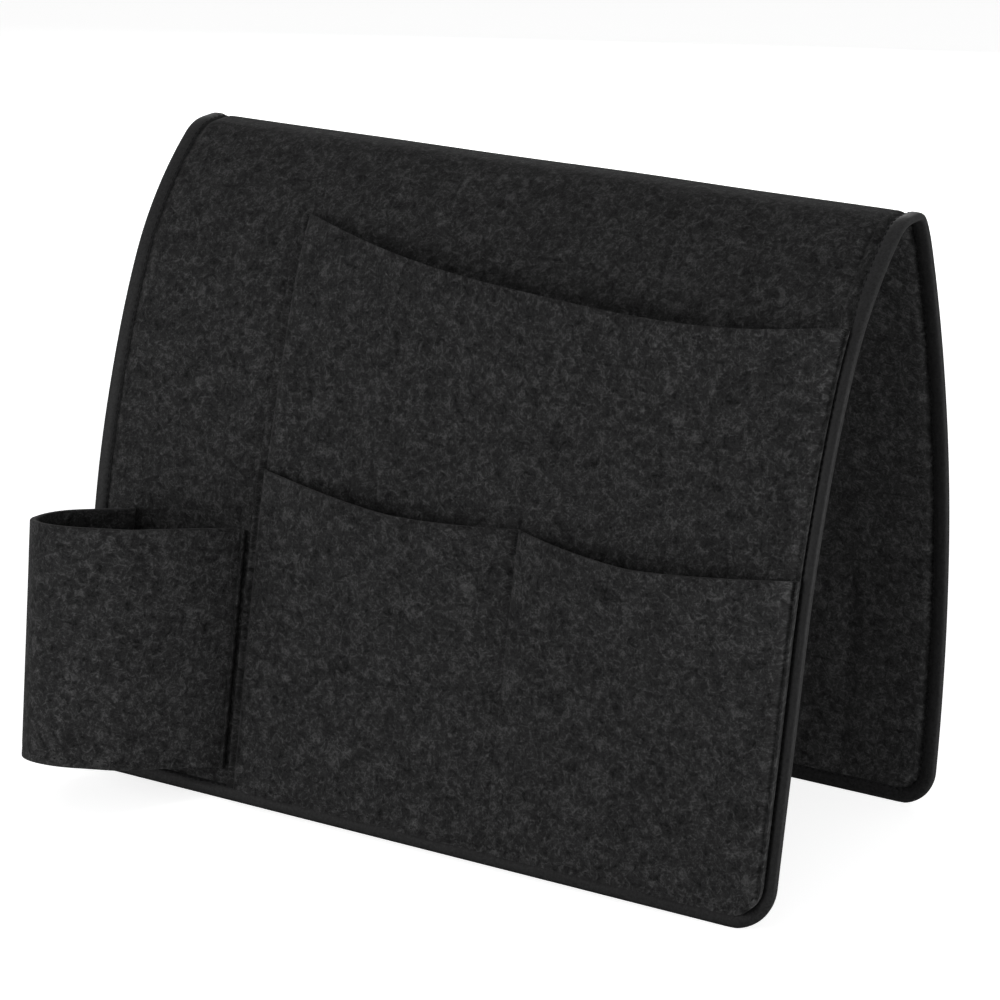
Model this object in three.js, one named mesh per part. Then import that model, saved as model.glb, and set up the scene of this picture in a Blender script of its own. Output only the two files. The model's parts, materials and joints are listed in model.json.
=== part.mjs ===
// Felt organizer that hangs over a sofa armrest, in millimetres, +Z up.
// X runs along the armrest, -Y is the front with the pockets.
// Every panel is laid out on the draped sheet by x, by the length s over the top from the front foot,
// and by the distance d outwards from the outer face of the sheet.

import * as THREE from 'three';

// Main sheet
const sheetLength = 400;
const sheetFelt = 3;
const frontCornerRadius = 22;
const backCornerRadius = 18;
const seatGap = 0.3;

// Side view of the draped sheet, as arcs that follow on from the front foot, each with a turn in degrees
const frontLean = 11.5;
const frontLeg = { length: 136, turn: 0 };
const frontShoulder = { length: 81, turn: 8.8 };
const frontRise = { length: 43, turn: 6.2 };
const crownFront = { length: 72, turn: 25.2 };
const crownTop = { length: 16, turn: 38.3 };
const crownLand = { length: 8, turn: 0 };
const crownFold = { length: 10, turn: 59.5 };
const backShoulder = { length: 14, turn: 10.5 };
const backLegTurn = 29.8;

// Binding tape folded round the edge of the sheet
const tapeThickness = 0.8;
const bindingWidth = 7.5;
const bindingSeamInset = 6.2;

// Fold in the crown
const foldClearance = 0.3;
const bindingFoldSetback = 2.4;
const threadFoldSetback = 3;

// Magazine pocket
const pocketFelt = 2.5;
const pocketEdgeClearance = 0.5;
const pocketSeamInset = 2.8;
const mouthFullness = 2.7;
const magazineFromEnd = 98;
const magazineSpread = 6.7;
const magazineMouthLeft = 296;
const magazineMouthRight = 281.5;
const magazineMouthSag = 18;
const magazineMouthSkew = 1.25;
const magazineMouthGap = 15;

// Lower pockets
const lowerFromEnd = 98.8;
const middleSeamFromEnd = 248;
const lowerMouthLeft = 164.5;
const lowerMouthMiddle = 163.5;
const lowerMouthRight = 166;
const lowerMouthSag = 4.4;
const lowerLeftMouthSkew = 0.7;
const lowerMouthGap = 11.5;
const lowerBulgeStart = 25;
const mouthClearance = 9;

// Cup pocket
const cupFelt = 3;
const cupFromEnd = 93.6;
const cupBottom = 15.3;
const cupHeight = 121;
const cupFlangeWidth = 4;
const cupFlangeBend = 4;
const cupSideAngle = 64;
const cupSideLength = 70;
const cupFrontRadius = 18;
const cupFrontLength = 6;
const cupFarRadius = 15;
const cupFarLean = 5;
const cupFarBend = 6;
const cupFarFlangeWidth = 5;
const cupRimFlare = 1.09;
const cupBottomFlare = 0.91;
const cupSeamInset = 2.4;
const cupBaseLift = 2;
const cupBaseFelt = 3;
const cupBaseSeamLift = 4;

// Pocket on the outer face of the back leg
const backPocketFromEnd = 48.5;
const backPocketMouth = 110;
const backTackLength = 14;
const backTackDrop = 2.4;
const backPocketSag = 3;
const backPocketGap = 11.5;
const backPocketBulgeStart = 18;

// Thread
const threadWidth = 0.9;
const threadHeight = 0.5;
const tackLength = 8;
const tackWidth = 1.6;

// How finely curved stretches are divided
const longestStep = 15;
const arcFlatness = 0.06;
const cornerSteps = 6;
const bendStep = 15;
const beadSteps = 3;
const pocketColumns = 7;
const cupRows = 4;

const radians = (degrees) => THREE.MathUtils.degToRad(degrees);
const half = sheetLength / 2;
const quarterTurn = 90;
const magazineLeftEdge = magazineFromEnd - half;
const lowerLeftEdge = lowerFromEnd - half;
const lowerMiddleSeam = middleSeamFromEnd - half;
const cupRightEdge = cupFromEnd - half;

// Materials
const charcoalFelt = new THREE.MeshStandardMaterial({ color: 0x262627, roughness: 0.95, metalness: 0 });
const blackTape = new THREE.MeshStandardMaterial({ color: 0x1b1b1c, roughness: 0.8, metalness: 0 });
const blackThread = new THREE.MeshStandardMaterial({ color: 0x141415, roughness: 0.6, metalness: 0 });

// Turns lists of corners and triangles into a closed geometry whose faces point outwards
function closedGeometry(corners, triangles) {
  let volume = 0;
  for (const [a, b, c] of triangles) {
    volume += corners[a].dot(corners[b].clone().cross(corners[c])) / 6;
  }
  const facing = volume > 0 ? triangles : triangles.map(([a, b, c]) => [a, c, b]);
  const geometry = new THREE.BufferGeometry();
  const positions = corners.flatMap((corner) => corner.toArray());
  geometry.setAttribute('position', new THREE.Float32BufferAttribute(positions, 3));
  geometry.setIndex(facing.flat());
  geometry.computeVertexNormals();
  return geometry;
}

// Joins a row of closed outlines, each with as many points as the next, and caps both ends
function skinned(rings, capOutline) {
  const count = capOutline.length;
  const corners = rings.flat();
  const triangles = [];
  for (let ring = 0; ring + 1 < rings.length; ring += 1) {
    for (let point = 0; point < count; point += 1) {
      const next = (point + 1) % count;
      const a = ring * count + point;
      const b = ring * count + next;
      triangles.push([a, b, b + count], [a, b + count, a + count]);
    }
  }
  const last = (rings.length - 1) * count;
  const clockwise = THREE.ShapeUtils.isClockWise(capOutline);
  for (const [a, b, c] of THREE.ShapeUtils.triangulateShape(capOutline, [])) {
    const [left, right] = clockwise ? [c, b] : [b, c];
    triangles.push([a, right, left], [last + a, last + left, last + right]);
  }
  return closedGeometry(corners, triangles);
}

// A felt panel from a grid of places on its two faces
function panel(columns, rows, placeAt) {
  const corners = [];
  const index = (column, row, face) => (row * columns.length + column) * 2 + face;
  for (const row of rows) {
    for (const column of columns) {
      corners.push(placeAt(column, row, 0), placeAt(column, row, 1));
    }
  }
  const triangles = [];
  const quad = (a, b, c, d) => triangles.push([a, b, c], [a, c, d]);
  const between = (column, row, nextColumn, nextRow) => {
    const near = [index(column, row, 0), index(column, row, 1)];
    const far = [index(nextColumn, nextRow, 0), index(nextColumn, nextRow, 1)];
    quad(near[0], near[1], far[1], far[0]);
  };
  const lastColumn = columns.length - 1;
  const lastRow = rows.length - 1;
  for (let row = 0; row < lastRow; row += 1) {
    for (let column = 0; column < lastColumn; column += 1) {
      const square = [[0, 0], [1, 0], [1, 1], [0, 1]];
      const under = square.map(([right, up]) => index(column + right, row + up, 0));
      quad(...under.map((corner) => corner + 1));
      quad(...under.reverse());
    }
    between(0, row, 0, row + 1);
    between(lastColumn, row + 1, lastColumn, row);
  }
  for (let column = 0; column < lastColumn; column += 1) {
    between(column + 1, 0, column, 0);
    between(column, lastRow, column + 1, lastRow);
  }
  return closedGeometry(corners, triangles);
}

function named(name, geometry, material) {
  const mesh = new THREE.Mesh(geometry, material);
  mesh.name = name;
  return mesh;
}

// A chain of arcs from a start point: heading is measured from the second axis towards the first
function arcChain(start, heading, pieces) {
  const joints = [{ at: 0, u: start.u, v: start.v, heading }];
  for (const { length, turn } of pieces) {
    const from = joints.at(-1);
    const end = alongArc(from, length, turn / length);
    joints.push({ at: from.at + length, ...end, heading: from.heading + turn });
  }
  return {
    joints,
    pieces,
    length: joints.at(-1).at,
    pointAt(distance) {
      let piece = 0;
      while (piece + 1 < pieces.length && distance > joints[piece + 1].at) {
        piece += 1;
      }
      const along = distance - joints[piece].at;
      const inside = along >= 0 && along <= pieces[piece].length;
      if (!inside) {
        const end = along < 0 ? joints[piece] : joints[piece + 1];
        return { ...alongArc(end, distance - end.at, 0), heading: end.heading };
      }
      const bend = pieces[piece].turn / pieces[piece].length;
      return { ...alongArc(joints[piece], along, bend), heading: joints[piece].heading + bend * along };
    },
  };
}

// Where an arc gets to from a point with a heading, for a bend in degrees for each millimetre
function alongArc(from, length, bend) {
  const start = radians(from.heading);
  if (bend === 0) {
    return { u: from.u + length * Math.sin(start), v: from.v + length * Math.cos(start) };
  }
  const radius = 1 / radians(bend);
  const end = start + length / radius;
  return {
    u: from.u + radius * (Math.cos(start) - Math.cos(end)),
    v: from.v + radius * (Math.sin(end) - Math.sin(start)),
  };
}

// The draped sheet seen from its end, with a back leg just long enough to stand level with the front one
function drapedOutline() {
  const overTop = [
    frontLeg, frontShoulder, frontRise, crownFront, crownTop, crownLand, crownFold, backShoulder,
  ];
  const top = arcChain({ u: 0, v: 0 }, frontLean, overTop);
  const shoulder = top.joints.at(-1);
  const start = radians(shoulder.heading);
  const end = radians(shoulder.heading + backLegTurn);
  const backLeg = {
    length: (shoulder.v * radians(backLegTurn)) / (Math.sin(start) - Math.sin(end)),
    turn: backLegTurn,
  };
  return arcChain({ u: 0, v: 0 }, frontLean, [...overTop, backLeg]);
}

const arch = drapedOutline();
const archLength = arch.length;
const footCentre = arch.pointAt(archLength).u / 2;
const foldPlace = arch.joints[arch.pieces.indexOf(crownFold)].at;
const levelHeight = frontCornerRadius * 2;

// The feet stand level: near the floor each layer is cut off along the floor and not square to the leg
function levelled(s, d) {
  const toFront = Math.max(0, 1 - s / levelHeight);
  const toBack = Math.max(0, 1 - (archLength - s) / levelHeight);
  const frontShift = d * Math.tan(radians(frontLean)) * toFront;
  const backShift = d * Math.tan(radians(arch.pointAt(archLength).heading)) * toBack;
  return s - frontShift - backShift;
}

function squareTo(x, s, d) {
  const { u, v, heading } = arch.pointAt(s);
  const normal = radians(heading);
  return new THREE.Vector3(x, u - footCentre - d * Math.cos(normal), v + d * Math.sin(normal));
}

const draped = (x, s, d) => squareTo(x, levelled(s, d), d);

// Longest step along an arc whose chord stays within the flatness
function arcStep(piece) {
  const radius = piece.length / Math.max(radians(Math.abs(piece.turn)), Number.EPSILON);
  return Math.min(longestStep, Math.sqrt(8 * radius * arcFlatness));
}

// Lengths at which a panel from one s to another is divided so that it follows the arch
function archStations(from, to) {
  const stations = [from];
  arch.pieces.forEach((piece, number) => {
    const start = arch.joints[number].at;
    const count = Math.ceil(piece.length / arcStep(piece));
    for (let part = 0; part <= count; part += 1) {
      const s = start + (piece.length * part) / count;
      if (s > stations.at(-1) + seatGap && s < to - seatGap) {
        stations.push(s);
      }
    }
  });
  stations.push(to);
  return stations;
}

// How far a rounded corner cuts into the edge at a distance from the corner's side
function cornerCut(distance, radius) {
  const inside = Math.max(0, radius - distance);
  return radius - Math.sqrt(Math.max(0, radius * radius - inside * inside));
}

// Distances from a rounded corner's side at which its arc is divided
function cornerDistances(radius) {
  const distances = [];
  for (let step = 0; step <= cornerSteps; step += 1) {
    distances.push(radius * (1 - Math.cos(((Math.PI / 2) * step) / cornerSteps)));
  }
  return distances;
}

const edgeInset = tapeThickness + seatGap;

// Half of the main sheet: rows run up from the foot, each as wide as the rounded corners leave it
function sheetHalf(name, rows) {
  const columns = [-1, 1];
  const geometry = panel(columns, rows, (side, row, face) =>
    draped(side * row.halfWidth, row.s, face === 1 ? -row.skin : row.skin - sheetFelt));
  return named(name, geometry, charcoalFelt);
}

function footRows(radius) {
  const sheetRadius = radius - edgeInset;
  return cornerDistances(sheetRadius).map((rise) => ({
    rise: edgeInset + rise,
    halfWidth: half - edgeInset - cornerCut(rise, sheetRadius),
  }));
}

function frontSheet() {
  const rows = footRows(frontCornerRadius).map(({ rise, halfWidth }) => ({ s: rise, halfWidth, skin: 0 }));
  const foldEnd = foldPlace - sheetFelt / 2 - foldClearance;
  for (const s of archStations(frontCornerRadius, foldEnd).slice(1)) {
    rows.push({ s, halfWidth: half - edgeInset, skin: 0 });
  }
  return sheetHalf('front_sheet', rows);
}

function backSheet() {
  const beadRadius = sheetFelt / 2;
  const rows = [];
  for (let step = 1; step < beadSteps; step += 1) {
    const angle = ((Math.PI / 2) * step) / beadSteps;
    rows.push({
      s: foldPlace - beadRadius * Math.cos(angle),
      halfWidth: half - edgeInset,
      skin: beadRadius * (1 - Math.sin(angle)),
    });
  }
  for (const s of archStations(foldPlace, archLength - backCornerRadius).slice(0, -1)) {
    rows.push({ s, halfWidth: half - edgeInset, skin: 0 });
  }
  for (const { rise, halfWidth } of footRows(backCornerRadius).reverse()) {
    rows.push({ s: archLength - rise, halfWidth, skin: 0 });
  }
  return sheetHalf('back_sheet', rows);
}

// The edge of one leg from the fold on the left side, round the foot, to the fold on the right side.
// Each stop has a point on the outer edge and the direction into the sheet.
function legEdge(radius, foldEnd, footEnd, upwards) {
  const stops = [];
  const centreX = half - radius;
  const centreS = footEnd + upwards * radius;
  const side = archStations(Math.min(centreS, foldEnd), Math.max(centreS, foldEnd));
  const downwards = upwards > 0 ? side.slice(1).reverse() : side.slice(0, -1);
  for (const s of downwards) {
    stops.push({ x: -half, s, inX: 1, inS: 0 });
  }
  for (let step = 0; step <= cornerSteps; step += 1) {
    const angle = ((Math.PI / 2) * step) / cornerSteps;
    stops.push({
      x: -centreX - radius * Math.cos(angle),
      s: centreS - upwards * radius * Math.sin(angle),
      inX: Math.cos(angle),
      inS: upwards * Math.sin(angle),
    });
  }
  const mirrored = [...stops].reverse().map((stop) => ({ ...stop, x: -stop.x, inX: -stop.inX }));
  return [...stops, ...mirrored];
}

const frontEdge = (setback) => legEdge(frontCornerRadius, foldPlace - setback, 0, 1);
const backEdge = (setback) => legEdge(backCornerRadius, foldPlace + setback, archLength, -1);

// Sweeps a section of inward distances and heights round a leg's edge
function alongEdge(stops, section) {
  const rings = stops.map((stop) =>
    section.map(({ inward, d }) => draped(stop.x + stop.inX * inward, stop.s + stop.inS * inward, d)));
  return skinned(rings, section.map(({ inward, d }) => new THREE.Vector2(inward, d)));
}

// Tape folded over the edge, with a small gap to the felt inside it
function binding(name, stops) {
  const outer = seatGap + tapeThickness;
  const section = [
    { inward: bindingWidth, d: seatGap },
    { inward: bindingWidth, d: outer },
    { inward: 0, d: outer },
    { inward: 0, d: -sheetFelt - outer },
    { inward: bindingWidth, d: -sheetFelt - outer },
    { inward: bindingWidth, d: -sheetFelt - seatGap },
    { inward: tapeThickness, d: -sheetFelt - seatGap },
    { inward: tapeThickness, d: seatGap },
  ];
  return named(name, alongEdge(stops, section), blackTape);
}

function threadSection(inward, surface) {
  const low = surface + seatGap;
  const high = low + threadHeight;
  return [
    { inward: inward - threadWidth / 2, d: low },
    { inward: inward - threadWidth / 2, d: high },
    { inward: inward + threadWidth / 2, d: high },
    { inward: inward + threadWidth / 2, d: low },
  ];
}

function bindingThread(name, stops) {
  const section = threadSection(bindingSeamInset, seatGap + tapeThickness);
  return named(name, alongEdge(stops, section), blackThread);
}

// Swells from 0 at both ends of a mouth to 1 in its middle, and a rise that starts slowly
const swell = (share) => Math.sin(Math.PI * THREE.MathUtils.clamp(share, 0, 1));
const fullSwell = (share) => 1 - Math.abs(2 * THREE.MathUtils.clamp(share, 0, 1) - 1) ** mouthFullness;
const rising = (value, from, to) => THREE.MathUtils.clamp((value - from) / (to - from), 0, 1) ** 2;

const pocketFoot = bindingWidth + pocketEdgeClearance;
const pocketRight = half - pocketFoot;
const pocketCornerRadius = frontCornerRadius - pocketFoot;

// Magazine pocket, sewn at both sides and along the foot, open along its sagging mouth
const magazineLeftSeam = magazineLeftEdge + pocketSeamInset;
const magazineRightSeam = pocketRight - pocketSeamInset;
const magazineShare = (x) => (x - magazineLeftSeam) / (magazineRightSeam - magazineLeftSeam);

function magazineMouth(x) {
  const share = THREE.MathUtils.clamp(magazineShare(x), 0, 1);
  const level = THREE.MathUtils.lerp(magazineMouthLeft, magazineMouthRight, share);
  return level - magazineMouthSag * fullSwell(share ** magazineMouthSkew);
}

// Above the lower pockets the magazine pocket stands open and widens to the left
const magazineOpenStart = Math.max(lowerMouthLeft, lowerMouthMiddle, lowerMouthRight) + mouthClearance;

function magazineInner(x, s) {
  const open = magazineMouthGap * swell(magazineShare(x)) * rising(s, magazineOpenStart, magazineMouth(x));
  return seatGap + open;
}

function onMagazine(x, s, above) {
  const widening = magazineSpread * rising(s, magazineOpenStart, magazineMouthLeft);
  const fromRight = 1 - THREE.MathUtils.clamp(magazineShare(x), 0, 1);
  return draped(x - widening * fromRight, s, magazineInner(x, s) + above);
}

// Bottom of the front pockets at x: straight, and rounded where the sheet's right corner is
const pocketBottom = (x) => pocketFoot + cornerCut(pocketRight - x, pocketCornerRadius);

function spread(from, to, count) {
  return Array.from({ length: count + 1 }, (_, step) => from + ((to - from) * step) / count);
}

// Column places from a left edge to the rounded right corner, with seams among them
function pocketColumnPlaces(leftEdge, seams) {
  const cornerStart = pocketRight - pocketCornerRadius;
  const stops = [leftEdge, ...seams.filter((seam) => seam < cornerStart), cornerStart];
  const places = stops.slice(1).flatMap((stop, number) => {
    const wide = stop - stops[number] > pocketFelt * 2;
    return spread(stops[number], stop, wide ? pocketColumns : 1).slice(0, -1);
  });
  const corner = cornerDistances(pocketCornerRadius).reverse();
  return [...places, ...corner.map((distance) => pocketRight - distance)];
}

// A pocket's felt from the foot to its mouth, where placeOn gives a point above the panel's inner face
function pocketPanel(name, columns, mouthAt, placeOn) {
  const highest = Math.max(...columns.map(mouthAt));
  const rows = archStations(pocketFoot, highest).map((s) => (s - pocketFoot) / (highest - pocketFoot));
  const geometry = panel(columns, rows, (x, share, face) => {
    const s = THREE.MathUtils.lerp(pocketBottom(x), mouthAt(x), share);
    return placeOn(x, s, face * pocketFelt);
  });
  return named(name, geometry, charcoalFelt);
}

function magazinePocket() {
  const columns = pocketColumnPlaces(magazineLeftEdge, [magazineLeftSeam, lowerMiddleSeam]);
  return pocketPanel('magazine_pocket', columns, magazineMouth, onMagazine);
}

// Lower pocket panel, laid over the magazine pocket and parted by its middle seam
const lowerLeftSeam = lowerLeftEdge + pocketSeamInset;
const lowerRightSeam = magazineRightSeam;

function lowerShare(x) {
  const fromLeft = (x - lowerLeftSeam) / (lowerMiddleSeam - lowerLeftSeam);
  const fromMiddle = (x - lowerMiddleSeam) / (lowerRightSeam - lowerMiddleSeam);
  return x < lowerMiddleSeam ? fromLeft : fromMiddle;
}

function lowerMouth(x) {
  const share = THREE.MathUtils.clamp(lowerShare(x), 0, 1);
  if (x < lowerMiddleSeam) {
    const level = THREE.MathUtils.lerp(lowerMouthLeft, lowerMouthMiddle, share);
    return level - lowerMouthSag * fullSwell(share ** lowerLeftMouthSkew);
  }
  return THREE.MathUtils.lerp(lowerMouthMiddle, lowerMouthRight, share) - lowerMouthSag * fullSwell(share);
}

function lowerInner(x, s) {
  const open = lowerMouthGap * swell(lowerShare(x)) * rising(s, lowerBulgeStart, lowerMouth(x));
  return magazineInner(x, s) + pocketFelt + seatGap + open;
}

const onLower = (x, s, above) => draped(x, s, lowerInner(x, s) + above);

function lowerPocketPanel() {
  const columns = pocketColumnPlaces(lowerLeftEdge, [lowerLeftSeam, lowerMiddleSeam]);
  return pocketPanel('lower_pocket_panel', columns, lowerMouth, onLower);
}

// Section of every row of thread: side runs across the row, top is 0 on the felt and 1 on the thread's crown
const threadOutline = [
  { side: -1, top: 0 },
  { side: -1, top: 1 },
  { side: 1, top: 1 },
  { side: 1, top: 0 },
];

// Thread through a row of stops, where placeAt gives a point of the section at a stop
function thread(name, stops, placeAt) {
  const ringAt = (stop) => threadOutline.map(({ side, top }) => placeAt(stop, side, top * threadHeight));
  const rings = stops.map(ringAt);
  const cap = threadOutline.map(({ side, top }) => new THREE.Vector2(side, top));
  return named(name, skinned(rings, cap), blackThread);
}

// A bar tack's middle below the mouth, and where the seam below the tack ends
const tackPlace = tackLength / 2 + threadWidth;
const tackReach = tackPlace + tackLength / 2 + seatGap;

// A row of thread up a pocket at x
function upSeam(name, x, from, to, placeOn) {
  const stops = archStations(from, to);
  return thread(name, stops, (s, side, above) =>
    placeOn(x + (side * threadWidth) / 2, s, pocketFelt + seatGap + above));
}

// A row of thread along a pocket at s
function alongSeam(name, from, to, s, placeOn) {
  return thread(name, spread(from, to, cornerSteps), (x, side, above) =>
    placeOn(x, s + (side * threadWidth) / 2, pocketFelt + seatGap + above));
}

// A short bar of close stitches along a seam's upper end
function barTack(name, x, s, placeOn) {
  const ends = [s - tackLength / 2, s + tackLength / 2];
  return thread(name, ends, (place, side, above) =>
    placeOn(x + (side * tackWidth) / 2, place, pocketFelt + seatGap + above));
}

// The magazine pocket's seams show above the lower pockets
function magazineSeams() {
  const reach = (x) => magazineMouth(x) - tackReach;
  const tack = (x) => magazineMouth(x) - tackPlace;
  const left = magazineLeftSeam;
  const right = magazineRightSeam;
  return [
    upSeam('magazine_seam_left', left, magazineOpenStart, reach(left), onMagazine),
    upSeam('magazine_seam_right', right, magazineOpenStart, reach(right), onMagazine),
    barTack('magazine_tack_left', left, tack(left), onMagazine),
    barTack('magazine_tack_right', right, tack(right), onMagazine),
  ];
}

function lowerSeams() {
  const bottomSeam = pocketFoot + pocketSeamInset;
  const aboveBottom = bottomSeam + tackWidth;
  const aboveCorner = pocketBottom(pocketRight) + pocketSeamInset;
  const cornerStart = pocketRight - pocketCornerRadius;
  const reach = (x) => lowerMouth(x) - tackReach;
  const tack = (x) => lowerMouth(x) - tackPlace;
  return [
    upSeam('lower_seam_left', lowerLeftSeam, aboveBottom, reach(lowerLeftSeam), onLower),
    upSeam('lower_seam_middle', lowerMiddleSeam, aboveBottom, reach(lowerMiddleSeam), onLower),
    upSeam('lower_seam_right', lowerRightSeam, aboveCorner, reach(lowerRightSeam), onLower),
    alongSeam('lower_seam_bottom', lowerLeftEdge + threadWidth, cornerStart, bottomSeam, onLower),
    barTack('lower_tack_left', lowerLeftSeam, tack(lowerLeftSeam), onLower),
    barTack('lower_tack_middle', lowerMiddleSeam, tack(lowerMiddleSeam), onLower),
    barTack('lower_tack_right', lowerRightSeam, tack(lowerRightSeam), onLower),
  ];
}

// Plan of the cup pocket's band, along its middle: u runs left from its right edge, v out from the sheet
function cupPlan() {
  const flat = seatGap + cupFelt / 2;
  const arc = (radius, turn) => ({ length: radius * radians(Math.abs(turn)), turn });
  const outward = [
    { length: cupFlangeWidth, turn: 0 },
    arc(cupFlangeBend, -cupSideAngle),
    { length: cupSideLength, turn: 0 },
    arc(cupFrontRadius, cupSideAngle),
    { length: cupFrontLength, turn: 0 },
    arc(cupFarRadius, quarterTurn + cupFarLean),
  ];
  const reach = arcChain({ u: 0, v: flat }, quarterTurn, outward).joints.at(-1);
  const bendDepth = cupFarBend * (1 + Math.sin(radians(cupFarLean)));
  const farSide = (reach.v - flat - bendDepth) / Math.cos(radians(cupFarLean));
  const inward = [
    { length: farSide, turn: 0 },
    arc(cupFarBend, -quarterTurn - cupFarLean),
    { length: cupFarFlangeWidth, turn: 0 },
  ];
  return arcChain({ u: 0, v: flat }, quarterTurn, [...outward, ...inward]);
}

const cupChain = cupPlan();
const cupRim = cupBottom + cupHeight;

// Distances along the cup's plan at which the band is divided
function cupStations() {
  const stations = [0];
  cupChain.pieces.forEach((piece, number) => {
    const count = Math.max(1, Math.ceil(Math.abs(piece.turn) / bendStep));
    for (let part = 1; part <= count; part += 1) {
      stations.push(cupChain.joints[number].at + (piece.length * part) / count);
    }
  });
  return stations;
}

// A place on the cup's band, whose plan widens towards the rim
function onCup(along, s, outwards) {
  const { u, v, heading } = cupChain.pointAt(along);
  const normal = radians(heading);
  const offsetU = u - outwards * Math.cos(normal);
  const offsetV = v + outwards * Math.sin(normal);
  return inCup(offsetU, offsetV, s);
}

function inCup(u, v, s) {
  const flare = THREE.MathUtils.mapLinear(s, cupBottom, cupRim, cupBottomFlare, cupRimFlare);
  const foot = seatGap + cupFelt;
  const d = v > foot ? foot + (v - foot) * flare : v;
  return squareTo(cupRightEdge - u, s, d);
}

function cupPocketBand() {
  const rows = spread(cupBottom, cupRim, cupRows);
  const geometry = panel(cupStations(), rows, (along, s, face) => onCup(along, s, (face - 0.5) * cupFelt));
  return named('cup_pocket_band', geometry, charcoalFelt);
}

// Felt base inside the lower end of the band
function cupPocketBase() {
  const inset = cupFelt / 2 + seatGap;
  const from = cupChain.joints[2].at;
  const to = cupChain.joints.at(-3).at;
  const stations = cupStations().filter((along) => along >= from && along <= to);
  const wall = stations.map((along) => {
    const { u, v, heading } = cupChain.pointAt(along);
    const normal = radians(heading);
    return new THREE.Vector2(u + inset * Math.cos(normal), v - inset * Math.sin(normal));
  });
  const first = wall[0];
  const last = wall.at(-1);
  const outline = [...wall, new THREE.Vector2(last.x, seatGap), new THREE.Vector2(first.x, seatGap)];
  const levels = [cupBottom + cupBaseLift, cupBottom + cupBaseLift + cupBaseFelt];
  const rings = levels.map((s) => outline.map(({ x, y }) => inCup(x, y, s)));
  return named('cup_pocket_base', skinned(rings, outline), charcoalFelt);
}

function cupSeam(name, along) {
  const face = cupFelt / 2 + seatGap;
  const stops = spread(cupBottom + threadWidth, cupRim - threadWidth, cupRows);
  return thread(name, stops, (s, side, above) => onCup(along + (side * threadWidth) / 2, s, face + above));
}

// Thread round the foot of the cup pocket, through the band and the base
function cupBaseThread() {
  const face = cupFelt / 2 + seatGap;
  const firstBend = cupChain.joints[2].at;
  const lastBend = cupChain.joints.at(-3).at;
  const stops = cupStations().filter((along) => along >= firstBend && along <= lastBend);
  return thread('cup_base_thread', stops, (along, side, above) =>
    onCup(along, cupBottom + cupBaseSeamLift + (side * threadWidth) / 2, face + above));
}

// Pocket on the back leg; rise is measured up from the back foot
const backHalf = half - backPocketFromEnd;
const backSeam = backHalf - pocketSeamInset;
const backShare = (x) => (x + backSeam) / (2 * backSeam);
const backMouth = (x) => backPocketMouth - backPocketSag * swell(backShare(x));

function onBack(x, s, above) {
  const rise = archLength - s;
  const open = backPocketGap * swell(backShare(x)) * rising(rise, backPocketBulgeStart, backMouth(x));
  return draped(x, s, seatGap + open + above);
}

function backPocket() {
  const columns = [-backHalf, ...spread(-backSeam, backSeam, pocketColumns * 2), backHalf];
  const rows = spread(0, 1, Math.ceil(backPocketMouth / longestStep));
  const geometry = panel(columns, rows, (x, share, face) => {
    const rise = THREE.MathUtils.lerp(pocketFoot, backMouth(x), share);
    return onBack(x, archLength - rise, face * pocketFelt);
  });
  return named('back_pocket', geometry, charcoalFelt);
}

const backTackPlace = archLength - backPocketMouth + backTackDrop;

// One row of thread down the left side, along the foot and up the right side
function backPocketSeam() {
  const foot = archLength - pocketFoot - pocketSeamInset;
  const top = backTackPlace + threadWidth / 2 + seatGap;
  const places = archStations(top, foot);
  const leftSide = places.map((s) => ({ x: -backSeam, s, inX: 1, inS: s === foot ? -1 : 0 }));
  const rightSide = leftSide.map((stop) => ({ ...stop, x: backSeam, inX: -1 })).reverse();
  return thread('back_pocket_seam', [...leftSide, ...rightSide], (stop, side, above) => {
    const x = stop.x + (stop.inX * side * threadWidth) / 2;
    const s = stop.s + (stop.inS * side * threadWidth) / 2;
    return onBack(x, s, pocketFelt + seatGap + above);
  });
}

// Short rows of thread along the mouth at both ends
function backBarTacks() {
  const inner = backSeam - backTackLength;
  return [
    alongSeam('back_tack_left', -backSeam, -inner, backTackPlace, onBack),
    alongSeam('back_tack_right', inner, backSeam, backTackPlace, onBack),
  ];
}

const cupFarSeam = cupChain.length - cupSeamInset;

const organizer = new THREE.Group();
organizer.add(
  frontSheet(),
  backSheet(),
  binding('front_binding', frontEdge(bindingFoldSetback)),
  binding('back_binding', backEdge(bindingFoldSetback)),
  bindingThread('front_binding_thread', frontEdge(threadFoldSetback)),
  bindingThread('back_binding_thread', backEdge(threadFoldSetback)),
  magazinePocket(),
  ...magazineSeams(),
  lowerPocketPanel(),
  ...lowerSeams(),
  cupPocketBand(),
  cupPocketBase(),
  cupSeam('cup_seam_right', cupSeamInset),
  cupSeam('cup_seam_left', cupFarSeam),
  cupBaseThread(),
  backPocket(),
  backPocketSeam(),
  ...backBarTacks(),
);

// The origin is the middle of the floor area that the organizer covers
const footprint = new THREE.Box3().setFromObject(organizer);
const middle = footprint.getCenter(new THREE.Vector3());
organizer.position.set(-middle.x, -middle.y, -footprint.min.z);

const part = new THREE.Group();
part.add(organizer);

export default part;
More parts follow.
